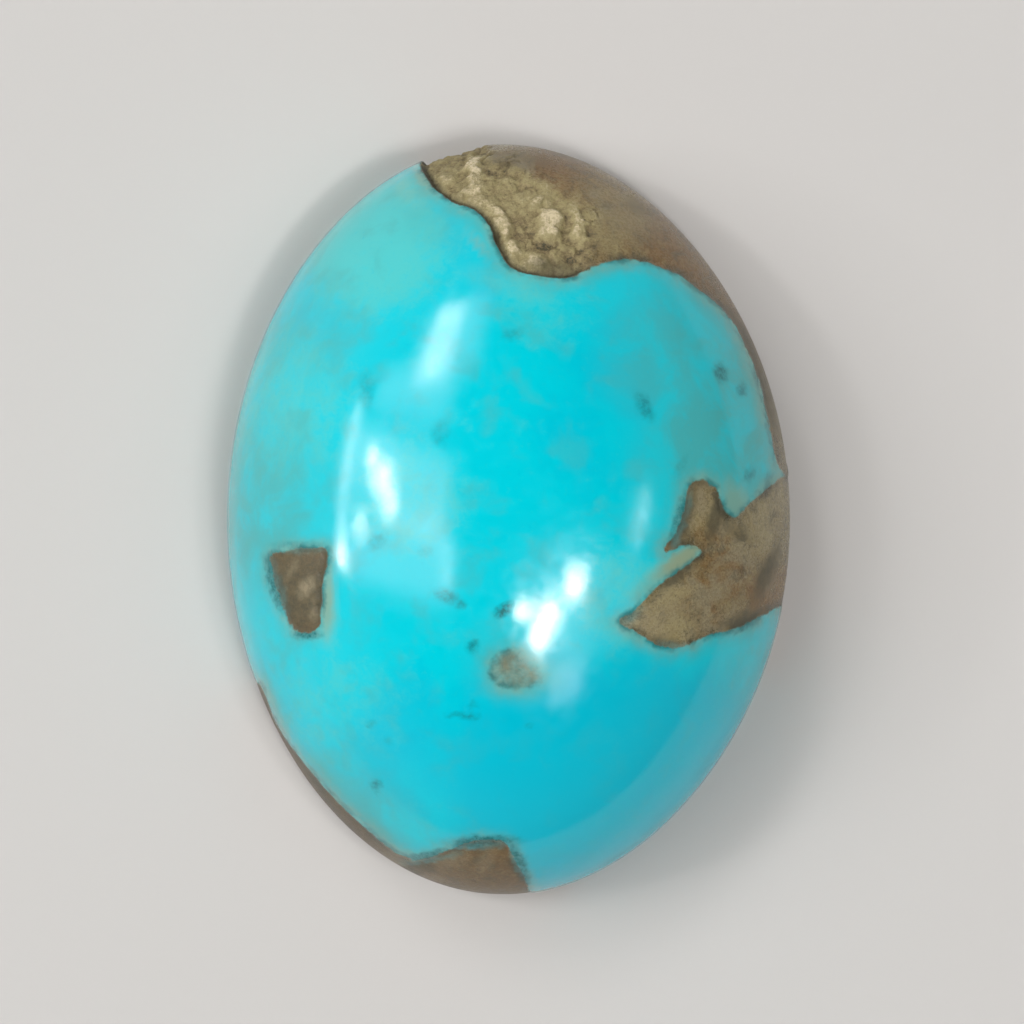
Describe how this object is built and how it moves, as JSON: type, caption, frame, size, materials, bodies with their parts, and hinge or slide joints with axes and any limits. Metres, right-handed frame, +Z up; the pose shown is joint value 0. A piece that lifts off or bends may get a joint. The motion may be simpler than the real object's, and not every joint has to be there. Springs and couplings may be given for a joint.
{
  "type": "turquoise cabochon",
  "caption": "Oval turquoise gemstone polished to a smooth dome on a flat back, with brown host-rock patches.",
  "frame": {"origin": "middle of the flat back, on the surface that the stone rests on", "axes": "+Z up through the top of the dome, +Y along the oval's length, +X across its width"},
  "size_m": [0.012, 0.016, 0.0056],
  "materials": {
    "turquoise": "polished"
  },
  "bodies": {
    "root": {"turquoise_cabochon": "turquoise"}
  },
  "joints": []
}
